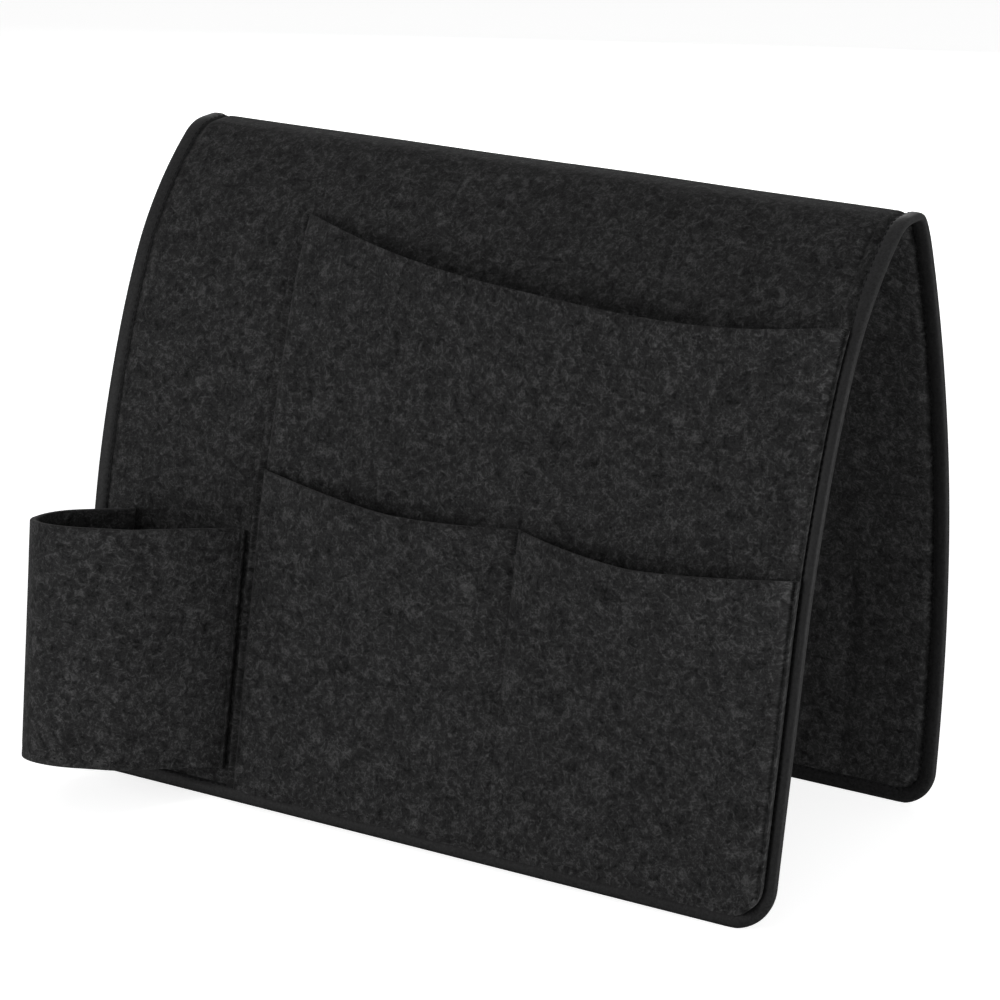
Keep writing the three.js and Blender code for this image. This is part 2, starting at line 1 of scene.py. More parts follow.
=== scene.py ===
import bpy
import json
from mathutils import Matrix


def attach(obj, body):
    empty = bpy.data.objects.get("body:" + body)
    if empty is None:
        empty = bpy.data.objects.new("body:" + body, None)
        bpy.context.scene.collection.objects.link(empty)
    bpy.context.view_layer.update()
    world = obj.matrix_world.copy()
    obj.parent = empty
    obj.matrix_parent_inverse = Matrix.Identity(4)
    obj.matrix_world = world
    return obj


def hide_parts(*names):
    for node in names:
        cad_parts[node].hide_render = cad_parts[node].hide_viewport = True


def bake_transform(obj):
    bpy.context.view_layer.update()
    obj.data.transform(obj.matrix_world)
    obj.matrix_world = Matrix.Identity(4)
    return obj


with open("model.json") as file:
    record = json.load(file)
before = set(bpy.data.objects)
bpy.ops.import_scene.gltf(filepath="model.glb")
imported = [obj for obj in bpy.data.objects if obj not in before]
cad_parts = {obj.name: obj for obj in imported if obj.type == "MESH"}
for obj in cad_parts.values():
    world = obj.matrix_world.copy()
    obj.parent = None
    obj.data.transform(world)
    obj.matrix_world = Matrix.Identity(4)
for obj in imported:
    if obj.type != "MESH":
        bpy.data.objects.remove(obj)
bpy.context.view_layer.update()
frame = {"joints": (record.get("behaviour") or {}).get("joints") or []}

import bpy
import bmesh
import json
import math
import random
from mathutils import Vector, noise

# Lengths below are in mm and angles in degrees, as a pattern cutter would note them.
mm = 0.001
random.seed(11)
foldPoint = Vector(frame["joints"][0]["pos_m"])

# Drape
# The sheet seen from its end: it leaves the front foot at a lean and follows arcs over the crown.
drapeShape = {
    "lean": 11.5,
    "arcs": [(136, 0), (81, 8.8), (43, 6.2), (72, 25.2), (16, 38.3), (8, 0), (10, 59.5), (14, 10.5)],
    "backLegTurn": 29.8,
    "arcsBeforeFold": 6,
    "foldDepth": 1.5,
    "levelOver": 44,
    "rippleDepth": 0.55,
    "rippleLength": 95,
    "rippleFade": 60,
}


def arcEnd(u, v, heading, length, turn):
    start = math.radians(heading)
    if abs(turn) < 1e-9:
        return u + length * math.sin(start), v + length * math.cos(start)
    radius = length / math.radians(turn)
    end = start + math.radians(turn)
    return u + radius * (math.cos(start) - math.cos(end)), v + radius * (math.sin(end) - math.sin(start))


def makeArch(shape):
    knots = [(0.0, 0.0, 0.0, shape["lean"])]
    arcs = list(shape["arcs"])
    for length, turn in arcs:
        at, u, v, heading = knots[-1]
        knots.append((at + length, *arcEnd(u, v, heading, length, turn), heading + turn))
    at, u, v, heading = knots[-1]
    turn = shape["backLegTurn"]
    start, end = math.radians(heading), math.radians(heading + turn)
    backLeg = v * math.radians(turn) / (math.sin(start) - math.sin(end))
    arcs.append((backLeg, turn))
    knots.append((at + backLeg, *arcEnd(u, v, heading, backLeg, turn), heading + turn))
    return arcs, knots


arcs, knots = makeArch(drapeShape)
sheetRise = knots[-1][0]
footMiddle = knots[-1][1] / 2
foldPlace = knots[drapeShape["arcsBeforeFold"]][0]


def archPoint(s):
    piece = 0
    while piece + 1 < len(arcs) and s > knots[piece + 1][0]:
        piece += 1
    at, u, v, heading = knots[piece]
    length, turn = arcs[piece]
    if s < 0:
        u, v = arcEnd(u, v, heading, s, 0)
    elif s > sheetRise:
        _, u, v, heading = knots[-1]
        u, v = arcEnd(u, v, heading, s - sheetRise, 0)
    else:
        share = (s - at) / length
        u, v = arcEnd(u, v, heading, s - at, turn * share)
        heading += turn * share
    return u - footMiddle, v, math.radians(heading)


def squareTo(x, s, d):
    y, z, normal = archPoint(s)
    return Vector((x, y - d * math.cos(normal) + shiftY, z + d * math.sin(normal))) * mm


shiftY = 0.0
shiftY = foldPoint.y / mm - squareTo(0, foldPlace, -drapeShape["foldDepth"]).y / mm
leanFront = math.tan(math.radians(drapeShape["lean"]))
leanBack = math.tan(math.radians(knots[-1][3]))


# Felt never hangs perfectly even: every layer follows the same slow ripple, which dies out at the feet.
def ripple(x, s):
    spread = drapeShape["rippleLength"]
    fade = min(1, s / drapeShape["rippleFade"], (sheetRise - s) / drapeShape["rippleFade"])
    wave = noise.noise(Vector((x / spread, s / spread, 4.2)))
    return drapeShape["rippleDepth"] * wave * max(0, fade)


# A point of the flat pattern: x along the armrest, s over the top from the front foot, d out from the felt.
def drape(x, s, d):
    toFront = max(0, 1 - s / drapeShape["levelOver"])
    toBack = max(0, 1 - (sheetRise - s) / drapeShape["levelOver"])
    level = s - d * leanFront * toFront - d * leanBack * toBack
    return squareTo(x, level, d + ripple(x, s))


# Small helpers
def clamp(value, low=0.0, high=1.0):
    return max(low, min(high, value))


def lerp(a, b, share):
    return a + (b - a) * share


def steps(start, end, size):
    count = max(1, round(abs(end - start) / size))
    return [start + (end - start) * step / count for step in range(count + 1)]


# Rows up and over the sheet, closer together where it bends
def drapeRows(start, end, size, turn=4.0):
    places = [start]
    while places[-1] < end:
        here = places[-1]
        bend = math.degrees(abs(archPoint(here + size)[2] - archPoint(here)[2]))
        places.append(here + size / max(1, bend / turn))
    stretch = (end - start) / (places[-1] - start)
    return [start + (place - start) * stretch for place in places]


# Places from start to end, close together near each of the given lines
def crowded(start, end, lines, coarse, fine, reach):
    places = [start]
    while places[-1] < end:
        near = min(abs(places[-1] - line) for line in (start, end, *lines))
        places.append(places[-1] + lerp(fine, coarse, clamp((near - fine) / reach)))
    stretch = (end - start) / (places[-1] - start)
    return [start + (place - start) * stretch for place in places]


def cornerCut(distance, radius):
    inside = max(0.0, radius - distance)
    return radius - math.sqrt(max(0.0, radius * radius - inside * inside))


def finishPiece(name, bm, material, smooth=True):
    mesh = bpy.data.meshes.new(name)
    bm.to_mesh(mesh)
    bm.free()
    piece = bpy.data.objects.new(name, mesh)
    bpy.context.scene.collection.objects.link(piece)
    mesh.materials.append(material)
    for polygon in mesh.polygons:
        polygon.use_smooth = smooth
    return piece


# Where each panel is cut from the cloth, so that no two show the same fibres
clothPlaces = {
    "feltSheet": (0, 0),
    "magazinePocket": (37, 520),
    "lowerPockets": (-61, 911),
    "cupPocket": (310, 95),
    "cupBase": (610, 40),
    "backPocket": (-240, -330),
}
panelPattern = {"cutEdgeShift": 0.7, "soft": 0.7, "softSteps": 3, "cutEdgeTurn": 1.2}


# Felt keeps the flat pattern as its UV map, in metres, so its fibres bend with it.
def layPattern(bm, name):
    pattern = bm.loops.layers.uv.new("cut")
    placeX, placeS = clothPlaces[name]
    shift = panelPattern["cutEdgeShift"]
    for face in bm.faces:
        for loop in face.loops:
            x, s, d = loop.vert.co
            loop[pattern].uv = ((x + shift * d + placeX) * mm, (s + shift * d + placeS) * mm)


def thicken(bm, thickness):
    raised = bmesh.ops.extrude_face_region(bm, geom=bm.faces[:])["geom"]
    verts = [part for part in raised if isinstance(part, bmesh.types.BMVert)]
    bmesh.ops.translate(bm, vec=(0, 0, thickness), verts=verts)
    bmesh.ops.recalc_face_normals(bm, faces=bm.faces[:])


# A felt panel: a flat grid is given its thickness and soft edges, then every point is put in its place.
def feltPanel(name, columns, rows, thickness, flatAt, placeOn, soft=panelPattern["soft"]):
    bm = bmesh.new()
    across, up = len(columns) - 1, len(rows) - 1
    bmesh.ops.create_grid(bm, x_segments=across, y_segments=up, size=0.5)
    for vert in bm.verts:
        x = columns[round((vert.co.x + 0.5) * across)]
        vert.co = Vector(flatAt(x, rows[round((vert.co.y + 0.5) * up)]))
    thicken(bm, thickness)
    rim = [edge for edge in bm.edges if edge.calc_face_angle(0) > panelPattern["cutEdgeTurn"]]
    bmesh.ops.bevel(
        bm, geom=rim, offset=soft, offset_type="OFFSET", segments=panelPattern["softSteps"], profile=0.5,
        affect="EDGES", material=-1, clamp_overlap=True,
    )
    layPattern(bm, name)
    for vert in bm.verts:
        vert.co = placeOn(*vert.co)
    bmesh.ops.recalc_face_normals(bm, faces=bm.faces[:])
    return finishPiece(name, bm, feltLook)


# Looks
def newLook(name):
    look = bpy.data.materials.new(name)
    look.use_nodes = True
    nodes = look.node_tree.nodes
    return look, nodes, look.node_tree.links, nodes["Principled BSDF"]


def setInputs(node, **values):
    for name, value in values.items():
        node.inputs[name].default_value = value


def noiseNode(nodes, links, vector, scale, detail, roughness, distortion=0.0, output="Fac"):
    node = nodes.new("ShaderNodeTexNoise")
    setInputs(node, Scale=scale, Detail=detail, Roughness=roughness, Distortion=distortion)
    links.new(vector, node.inputs["Vector"])
    return node.outputs[output]


def remap(nodes, links, value, fromLow, fromHigh, toLow, toHigh):
    node = nodes.new("ShaderNodeMapRange")
    for name, number in zip(("From Min", "From Max", "To Min", "To Max"), (fromLow, fromHigh, toLow, toHigh)):
        node.inputs[name].default_value = number
    links.new(value, node.inputs["Value"])
    return node.outputs["Result"]


def maths(nodes, links, operation, *values):
    node = nodes.new("ShaderNodeMath")
    node.operation = operation
    for socket, value in zip(node.inputs, values):
        if isinstance(value, (int, float)):
            socket.default_value = value
        else:
            links.new(value, socket)
    return node.outputs["Value"]


def weighted(nodes, links, *pairs):
    total = 0.0
    for value, weight in pairs:
        total = maths(nodes, links, "MULTIPLY_ADD", value, weight, total)
    return total


def colourRamp(nodes, links, value, stops):
    node = nodes.new("ShaderNodeValToRGB")
    ramp = node.color_ramp
    ramp.elements[0].position, ramp.elements[0].color = stops[0][0], (*stops[0][1], 1)
    ramp.elements[1].position, ramp.elements[1].color = stops[-1][0], (*stops[-1][1], 1)
    for place, colour in stops[1:-1]:
        ramp.elements.new(place).color = (*colour, 1)
    links.new(value, node.inputs["Fac"])
    return node.outputs["Color"]


def addBump(nodes, links, shader, height, depth, strength):
    bump = nodes.new("ShaderNodeBump")
    setInputs(bump, Strength=strength, Distance=depth)
    links.new(height, bump.inputs["Height"])
    links.new(bump.outputs["Normal"], shader.inputs["Normal"])


def setSurface(shader, finish):
    shader.inputs["Roughness"].default_value = finish["roughness"]
    shader.inputs["Specular IOR Level"].default_value = finish["specular"]


def flatPattern(nodes):
    uv = nodes.new("ShaderNodeUVMap")
    uv.uv_map = "cut"
    return uv.outputs["UV"]


# The flat pattern with a small swirl in it, so that what is drawn on it curls
def swirled(nodes, links, flat, scale, reach):
    push = noiseNode(nodes, links, flat, scale, 2.0, 0.5, output="Color")
    centred = nodes.new("ShaderNodeVectorMath")
    centred.operation = "SUBTRACT"
    links.new(push, centred.inputs[0])
    centred.inputs[1].default_value = (0.5, 0.5, 0.5)
    added = nodes.new("ShaderNodeVectorMath")
    added.operation = "MULTIPLY_ADD"
    links.new(centred.outputs["Vector"], added.inputs[0])
    added.inputs[1].default_value = (reach, reach, 0)
    links.new(flat, added.inputs[2])
    return added.outputs["Vector"]


# Single wool fibres: a noise drawn out along one direction and kept only at its crests
def strandNode(nodes, links, curled, turn, finish):
    place = nodes.new("ShaderNodeMapping")
    place.vector_type = "TEXTURE"
    place.inputs["Rotation"].default_value = (0, 0, math.radians(turn))
    place.inputs["Scale"].default_value = (finish["strandLength"], finish["strandWidth"], 1)
    links.new(curled, place.inputs["Vector"])
    drawn = noiseNode(nodes, links, place.outputs["Vector"], 1.0, 1.0, 0.5)
    return remap(nodes, links, drawn, *finish["strandCrest"], 0.0, 1.0)


# Each noise is given by its scale, detail, roughness and distortion.
feltFinish = {
    "dark": (0.0035, 0.0035, 0.0036),
    "middle": (0.0200, 0.0200, 0.0202),
    "pale": (0.082, 0.082, 0.0825),
    "stops": (0.31, 0.52, 0.86),
    "fibres": (235.0, 3.0, 0.6, 1.0),
    "grain": (850.0, 2.0, 0.6, 0.6),
    "clouds": (75.0, 4.0, 0.6, 0.4),
    "strandTurns": (14, 58, 103, 149),
    "strandLength": 0.0042,
    "strandWidth": 0.00085,
    "strandCrest": (0.54, 0.76),
    "swirl": {"scale": 150.0, "reach": 0.004},
    "weights": {"fibres": 0.68, "grain": 0.24, "strands": 0.12, "clouds": 0.28},
    "bumpDepth": 0.00028,
    "bumpStrength": 0.7,
    "roughness": 0.95,
    "specular": 0.10,
    "sheen": 0.03,
    "sheenRoughness": 0.5,
    "sheenTint": (0.8, 0.8, 0.8, 1),
}


def makeFeltLook(finish):
    look, nodes, links, shader = newLook("charcoalFelt")
    flat = flatPattern(nodes)
    fibres = noiseNode(nodes, links, flat, *finish["fibres"])
    grain = noiseNode(nodes, links, flat, *finish["grain"])
    clouds = noiseNode(nodes, links, flat, *finish["clouds"])
    curled = swirled(nodes, links, flat, **finish["swirl"])
    weights = finish["weights"]
    strands = [(strandNode(nodes, links, curled, turn, finish), weights["strands"])
               for turn in finish["strandTurns"]]
    body = weighted(nodes, links, (fibres, weights["fibres"]), (grain, weights["grain"]),
                    (clouds, weights["clouds"]), *strands)
    body = maths(nodes, links, "SUBTRACT", body, weights["clouds"] / 2)
    stops = zip(finish["stops"], (finish["dark"], finish["middle"], finish["pale"]))
    links.new(colourRamp(nodes, links, body, list(stops)), shader.inputs["Base Color"])
    addBump(nodes, links, shader, body, finish["bumpDepth"], finish["bumpStrength"])
    setSurface(shader, finish)
    shader.inputs["Sheen Weight"].default_value = finish["sheen"]
    shader.inputs["Sheen Roughness"].default_value = finish["sheenRoughness"]
    shader.inputs["Sheen Tint"].default_value = finish["sheenTint"]
    return look


tapeFinish = {
    "dark": (0.0035, 0.0035, 0.0037),
    "pale": (0.0165, 0.0165, 0.0168),
    "stops": (0.38, 0.66),
    "weave": (900.0, 2.0, 0.5, 0.0),
    "fuzz": (520.0, 3.0, 0.65, 0.8),
    "weights": {"weave": 0.4, "fuzz": 0.6},
    "bumpDepth": 0.00014,
    "bumpStrength": 0.6,
    "roughness": 0.6,
    "specular": 0.14,
}


def makeTapeLook(finish):
    look, nodes, links, shader = newLook("blackTape")
    flat = flatPattern(nodes)
    body = weighted(nodes, links, *(
        (noiseNode(nodes, links, flat, *finish[name]), weight) for name, weight in finish["weights"].items()))
    stops = zip(finish["stops"], (finish["dark"], finish["pale"]))
    links.new(colourRamp(nodes, links, body, list(stops)), shader.inputs["Base Color"])
    addBump(nodes, links, shader, body, finish["bumpDepth"], finish["bumpStrength"])
    setSurface(shader, finish)
    return look


threadFinish = {
    "dark": (0.003, 0.003, 0.0032),
    "pale": (0.009, 0.009, 0.0094),
    "stops": (0.3, 0.75),
    "twist": (1500.0, 2.0, 0.6, 0.5),
    "bumpDepth": 0.0001,
    "bumpStrength": 0.5,
    "roughness": 0.6,
    "specular": 0.08,
}


def makeThreadLook(finish):
    look, nodes, links, shader = newLook("blackThread")
    place = nodes.new("ShaderNodeTexCoord").outputs["Object"]
    twist = noiseNode(nodes, links, place, *finish["twist"])
    stops = zip(finish["stops"], (finish["dark"], finish["pale"]))
    links.new(colourRamp(nodes, links, twist, list(stops)), shader.inputs["Base Color"])
    addBump(nodes, links, shader, twist, finish["bumpDepth"], finish["bumpStrength"])
    setSurface(shader, finish)
    return look


feltLook = makeFeltLook(feltFinish)
tapeLook = makeTapeLook(tapeFinish)
threadLook = makeThreadLook(threadFinish)
print("looks ready")

# Main sheet
# Columns and rows give the wide cells, the narrow ones by a seam, and how far the change reaches.
sheetPattern = {
    "length": 400.0,
    "felt": 3.0,
    "frontCorner": 22.0,
    "backCorner": 18.0,
    "edgeInset": 1.0,
    "cell": 4.0,
    "columns": (4.0, 0.8, 9.0),
    "cornerRows": 12,
    "borderDip": 1.3,
    "innerBorderDip": 1.0,
    "borderReach": 2.1,
    "borderPlace": 0.8,
}
half = sheetPattern["length"] / 2

# The tape is drawn in most where the pockets' felt lies against it, on the front's right edge
tapePattern = {
    "width": 7.1,
    "besidePockets": 5.7,
    "pocketTop": 281.5,
    "change": 16.0,
    "sideFrom": 0.8,
    "sideChange": 0.17,
    "tension": 0.12,
    "tensionLength": 23.0,
    "cutWidth": 20.5,
}


def tapeWidth(x, s):
    pattern = tapePattern
    toRight = clamp((x / half - pattern["sideFrom"]) / pattern["sideChange"])
    below = clamp((pattern["pocketTop"] + pattern["change"] - s) / pattern["change"])
    lift = clamp((s - sheetPattern["frontCorner"] / 2) / sheetPattern["frontCorner"])
    spread = pattern["tensionLength"]
    pull = pattern["tension"] * noise.noise(Vector((x / spread, s / spread, 1.7)))
    return lerp(pattern["width"], pattern["besidePockets"], toRight * below * lift) + pull


def edgeDistance(x, s):
    side = half - abs(x)
    corner, end = (sheetPattern["frontCorner"], s) if s < sheetRise / 2 else (
        sheetPattern["backCorner"], sheetRise - s)
    if side < corner and end < corner:
        return corner - math.hypot(corner - side, corner - end)
    return min(side, end)


def valley(distance, depth, reach):
    return depth * math.exp(-((distance / reach) ** 2))


# A crease that runs up from the corner of the magazine pocket's mouth
creasePattern = {
    "at": 186.6,
    "from": 284.0,
    "to": 352.0,
    "fadeIn": 12.0,
    "fadeOut": 20.0,
    "depth": 1.7,
    "reach": 1.6,
}


def creaseDip(x, s):
    pattern = creasePattern
    along = clamp((s - pattern["from"]) / pattern["fadeIn"]) * clamp((pattern["to"] - s) / pattern["fadeOut"])
    return valley(x - pattern["at"], pattern["depth"], pattern["reach"]) * along


# The sheet's faces: both are drawn in along the tape, and the inner one along the seams sewn through it
def onSheet(x, s, d):
    pattern = sheetPattern
    border = edgeDistance(x, s) - tapeWidth(x, s) - pattern["borderPlace"]
    if d > -pattern["felt"] / 2:
        dip = valley(border, pattern["borderDip"], pattern["borderReach"])
        return drape(x, s, d - dip - creaseDip(x, s))
    dip = valley(border, pattern["innerBorderDip"], pattern["borderReach"])
    for seam in innerSeams:
        dip = max(dip, valley(seam["distance"](x, s), seam["depth"], seam["reach"]))
    return drape(x, s, d + dip)


def sideLine(line, start, end):
    return lambda x, s: math.hypot(x - line, max(0, start - s, s - end) * 0.5)


def rowHalfWidth(s):
    inset = sheetPattern["edgeInset"]
    cut = cornerCut(s - inset, sheetPattern["frontCorner"] - inset)
    cut += cornerCut(sheetRise - inset - s, sheetPattern["backCorner"] - inset)
    return half - inset - cut


def footRows(radius):
    count = sheetPattern["cornerRows"]
    return [radius * (1 - math.cos(math.pi / 2 * step / count)) for step in range(count + 1)]


def makeSheet():
    pattern = sheetPattern
    inset, felt = pattern["edgeInset"], pattern["felt"]
    rows = [inset + rise for rise in footRows(pattern["frontCorner"] - inset)]
    backRows = [sheetRise - inset - rise for rise in footRows(pattern["backCorner"] - inset)]
    rows += drapeRows(rows[-1], backRows[-1], pattern["cell"])[1:-1] + backRows[::-1]
    border = half - tapePattern["width"] - pattern["borderPlace"]
    lines = [-border, -backSeam, magazineLeft, lowerPattern["middle"], backSeam, creasePattern["at"], border]
    columns = crowded(inset - half, half - inset, lines, *pattern["columns"])
    flatAt = lambda x, s: (x / (half - inset) * rowHalfWidth(s), s, -felt)
    return feltPanel("feltSheet", columns, rows, felt, flatAt, onSheet, soft=0.01)


# Stitches
stitchPattern = {
    "length": 2.7,
    "gap": 0.9,
    "width": 1.0,
    "height": 0.5,
    "sides": 6,
    "rings": 5,
    "wander": 0.1,
    "sink": 0.12,
    "bow": 0.34,
}


# Follows a path of flat points and gives evenly spaced middles with their directions
def walkPath(points, pitch):
    lengths = [0.0]
    for a, b in zip(points, points[1:]):
        lengths.append(lengths[-1] + math.dist(a, b))
    count = max(1, int(lengths[-1] / pitch))
    spare = (lengths[-1] - count * pitch) / 2
    segment = 0
    for number in range(count):
        target = spare + (number + 0.5) * pitch
        while segment + 2 < len(lengths) and lengths[segment + 1] < target:
            segment += 1
        a, b = points[segment], points[segment + 1]
        span = math.dist(a, b) or 1.0
        share = (target - lengths[segment]) / span
        direction = ((b[0] - a[0]) / span, (b[1] - a[1]) / span)
        yield lerp(a[0], b[0], share), lerp(a[1], b[1], share), direction


# One bead is doubled until there is one for each place. Every point keeps its bead's number, and by it
# the bead is then shaped where it belongs.
def beadMesh(places, pattern):
    bm = bmesh.new()
    number = bm.verts.layers.int.new("number")
    bmesh.ops.create_uvsphere(bm, u_segments=pattern["sides"], v_segments=pattern["rings"], radius=0.5)
    count = 1
    while count < len(places):
        doubled = bmesh.ops.duplicate(bm, geom=bm.verts[:] + bm.edges[:] + bm.faces[:])["geom"]
        for part in doubled:
            if isinstance(part, bmesh.types.BMVert):
                part[number] += count
        count *= 2
    bmesh.ops.delete(bm, geom=[vert for vert in bm.verts if vert[number] >= len(places)], context="VERTS")
    for vert in bm.verts:
        shapeBead = places[vert[number]]
        vert.co = shapeBead(*vert.co)
    bm.verts.layers.int.remove(number)
    bmesh.ops.recalc_face_normals(bm, faces=bm.faces[:])
    return bm


def stitchPlaces(points, surfaceAt, side):
    pattern, places = stitchPattern, []
    for x, s, (alongX, alongS) in walkPath(points, pattern["length"] + pattern["gap"]):
        sway = random.uniform(-1, 1) * pattern["wander"]

        def shapeStitch(across, up, along, x=x, s=s, alongX=alongX, alongS=alongS, sway=sway):
            up = up * pattern["height"] - pattern["sink"] - pattern["bow"] * (2 * along) ** 2
            along *= pattern["length"]
            across = across * pattern["width"] + sway
            atX, atS = x + alongX * along - alongS * across, s + alongS * along + alongX * across
            return surfaceAt(atX, atS, side * up)

        places.append(shapeStitch)
    return places


def makeStitches(name, rows, body=None):
    places = [place for row in rows for place in stitchPlaces(*row)]
    piece = finishPiece(name, beadMesh(places, stitchPattern), threadLook)
    if body:
        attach(piece, body)
    return piece


# Binding tape
bindingPattern = {
    "step": 1.3,
    "cornerSteps": 22,
    # across the tape: share of its width in from the edge, and the height over the felt
    "face": [(1.02, -1.25), (1.03, -0.85), (1.0, -0.45), (0.95, -0.1), (0.87, 0.2), (0.77, 0.4), (0.62, 0.5),
             (0.46, 0.52), (0.3, 0.48), (0.14, 0.36), (0.03, 0.0), (-0.05, -0.7)],
    "edge": (-0.07, -1.5),
    "under": [(0.24, -0.75), (0.6, -1.3)],
    "seam": 0.93,
    "dimple": 0.55,
    "dimpleAt": 0.9,
    "dimpleReach": 0.16,
}


# A quarter turn of the edge round the middle of a corner, between two directions that point inwards
def cornerStops(x, s, radius, start, end):
    count = bindingPattern["cornerSteps"]
    for step in range(1, count):
        angle = math.radians(lerp(start, end, step / count))
        inX, inS = math.cos(angle), math.sin(angle)
        yield x - radius * inX, s - radius * inS, inX, inS


# The sheet's whole edge, down the left side, round both feet and up the right: places with the way inwards
def edgePath():
    front, back = sheetPattern["frontCorner"], sheetPattern["backCorner"]
    top, step = sheetRise, bindingPattern["step"]
    stops = [(-half, s, 1, 0) for s in reversed(drapeRows(front, top - back, step))]
    stops += cornerStops(front - half, front, front, 0, 90)
    stops += [(x, 0, 0, 1) for x in steps(front - half, half - front, 3 * step)]
    stops += cornerStops(half - front, front, front, 90, 180)
    stops += [(half, s, -1, 0) for s in drapeRows(front, top - back, step)]
    stops += cornerStops(half - back, top - back, back, 180, 270)
    stops += [(x, top, 0, -1) for x in steps(half - back, back - half, 3 * step)]
    stops += cornerStops(back - half, top - back, back, 270, 360)
    return stops


def pathRuns(path):
    runs = [0.0]
    for a, b in zip(path, path[1:] + path[:1]):
        runs.append(runs[-1] + math.dist(a[:2], b[:2]))
    return runs


def makeBinding():
    pattern, felt = bindingPattern, sheetPattern["felt"]
    outer = pattern["face"] + [pattern["edge"]]
    inner = [(share, -felt - rise) for share, rise in reversed(pattern["face"])]
    underneath = [(share, -felt - rise) for share, rise in reversed(pattern["under"])]
    section = outer + inner + underneath + pattern["under"]
    path = edgePath()
    runs, rises = pathRuns(path), [0.0]
    for a, b in zip(section, section[1:] + section[:1]):
        width = tapePattern["width"]
        rises.append(rises[-1] + math.hypot((b[0] - a[0]) * width, b[1] - a[1]))
    along, across = len(path), len(section)
    pitch = stitchPattern["length"] + stitchPattern["gap"]
    pitch = runs[-1] / round(runs[-1] / pitch)
    bm = bmesh.new()
    bmesh.ops.create_grid(bm, x_segments=along, y_segments=across, size=0.5)
    uv = bm.loops.layers.uv.new("cut")
    for face in bm.faces:
        for loop in face.loops:
            i = round((loop.vert.co.x + 0.5) * along)
            j = round((loop.vert.co.y + 0.5) * across)
            loop[uv].uv = (runs[i] * mm, rises[j] * mm)
    for vert in bm.verts:
        i = round((vert.co.x + 0.5) * along) % along
        x, s, inX, inS = path[i]
        share, d = section[round((vert.co.y + 0.5) * across) % across]
        press = pattern["dimple"] * (0.5 + 0.5 * math.cos(2 * math.pi * runs[i] / pitch))
        press *= math.exp(-(((share - pattern["dimpleAt"]) / pattern["dimpleReach"]) ** 2))
        inward = share * tapeWidth(x, s)
        level = clamp(s + inS * inward, 0, sheetRise)
        vert.co = drape(x + inX * inward, level, d - press if d > -felt / 2 else d + press)
    bmesh.ops.remove_doubles(bm, verts=bm.verts[:], dist=0.00001)
    bmesh.ops.recalc_face_normals(bm, faces=bm.faces[:])
    return finishPiece("edgeBinding", bm, tapeLook), runs[-1]


def makeBindingStitches():
    felt = sheetPattern["felt"]
    line = []
    for x, s, inX, inS in edgePath():
        inward = tapeWidth(x, s) * bindingPattern["seam"]
        line.append((x + inX * inward, s + inS * inward))
    line.append(line[0])
    outside = lambda x, s, d: drape(x, s, d)
    inside = lambda x, s, d: drape(x, s, d - felt)
    return makeStitches("bindingStitches", [(line, outside, 1), (line, inside, -1)])


# Front pockets
pocketPattern = {
    "felt": 2.5,
    "foot": 8.0,
    "right": 5.6,
    "seamInset": 2.8,
    "rightInset": 1.8,
    "dip": 1.75,
    "dipReach": 1.5,
    "footDip": 0.5,
    "pressed": 0.95,
    "secondDip": 0.6,
    "seat": 0.12,
    "columns": (4.0, 0.7, 9.0),
    "rows": (4.0, 0.7),
    "rowReach": 0.05,
}
magazinePattern = {
    "leftEdge": -102.0,
    "spread": 6.7,
    "mouthLeft": 296.1,
    "mouthRight": 280.5,
    "sag": 18.6,
    "skew": 1.04,
    "fullness": 2.7,
    "gap": 17.0,
    "roundness": (1.0, 0.5),
    "cutHeight": 270.0,
}
lowerPattern = {
    "leftEdge": -101.2,
    "middle": 48.0,
    "mouthLeft": 168.0,
    "mouthMiddle": 163.6,
    "mouthRight": 165.1,
    "left": {"sag": 5.8, "skew": 1.16, "fullness": 1.5, "gap": 12.0},
    "right": {"sag": 6.9, "skew": 0.92, "fullness": 1.4, "gap": 14.0},
    "roundness": (0.8, 0.8),
    "openFrom": 25.0,
    "clearance": 6.0,
    "cutHeight": 155.0,
}
pocketRight = half - pocketPattern["right"]
pocketCorner = sheetPattern["frontCorner"] - pocketPattern["foot"]
magazineLeft = magazinePattern["leftEdge"] + pocketPattern["seamInset"]
magazineRight = pocketRight - pocketPattern["rightInset"]
magazineOpen = max(lowerPattern["mouthLeft"], lowerPattern["mouthRight"]) + lowerPattern["clearance"]
lowerLeft = lowerPattern["leftEdge"] + pocketPattern["seamInset"]


# How far a pocket stands open along its mouth: the roundness is given for its left and right end
def swell(share, roundness=(1.0, 1.0)):
    return max(0.0, math.sin(math.pi * clamp(share))) ** lerp(*roundness, clamp(share))


def fullSwell(share, fullness):
    return 1 - abs(2 * clamp(share) - 1) ** fullness


def rising(value, start, end):
    return clamp((value - start) / (end - start)) ** 2


def magazineShare(x):
    return clamp((x - magazineLeft) / (magazineRight - magazineLeft))


def magazineMouth(x):
    share = magazineShare(x)
    pattern = magazinePattern
    level = lerp(pattern["mouthLeft"], pattern["mouthRight"], share)
    return level - pattern["sag"] * fullSwell(share ** pattern["skew"], pattern["fullness"])


def magazineInner(x, s):
    opened = magazinePattern["gap"] * swell(magazineShare(x), magazinePattern["roundness"])
    return pocketPattern["seat"] + opened * rising(s, magazineOpen, magazineMouth(x))


# Stitching draws the felt in along its seams, least along the foot
def seamDip(foot, *sides):
    reach = pocketPattern["dipReach"]
    return max(valley(foot, pocketPattern["footDip"], reach), valley(min(sides), pocketPattern["dip"], reach))


def footInset(x):
    toRight = clamp(1 - (pocketRight - x) / pocketCorner)
    return lerp(pocketPattern["seamInset"], pocketPattern["rightInset"], toRight)


def footSeamDistance(x, s):
    return abs(s - pocketPattern["foot"] - cornerCut(pocketRight - x, pocketCorner) - footInset(x))


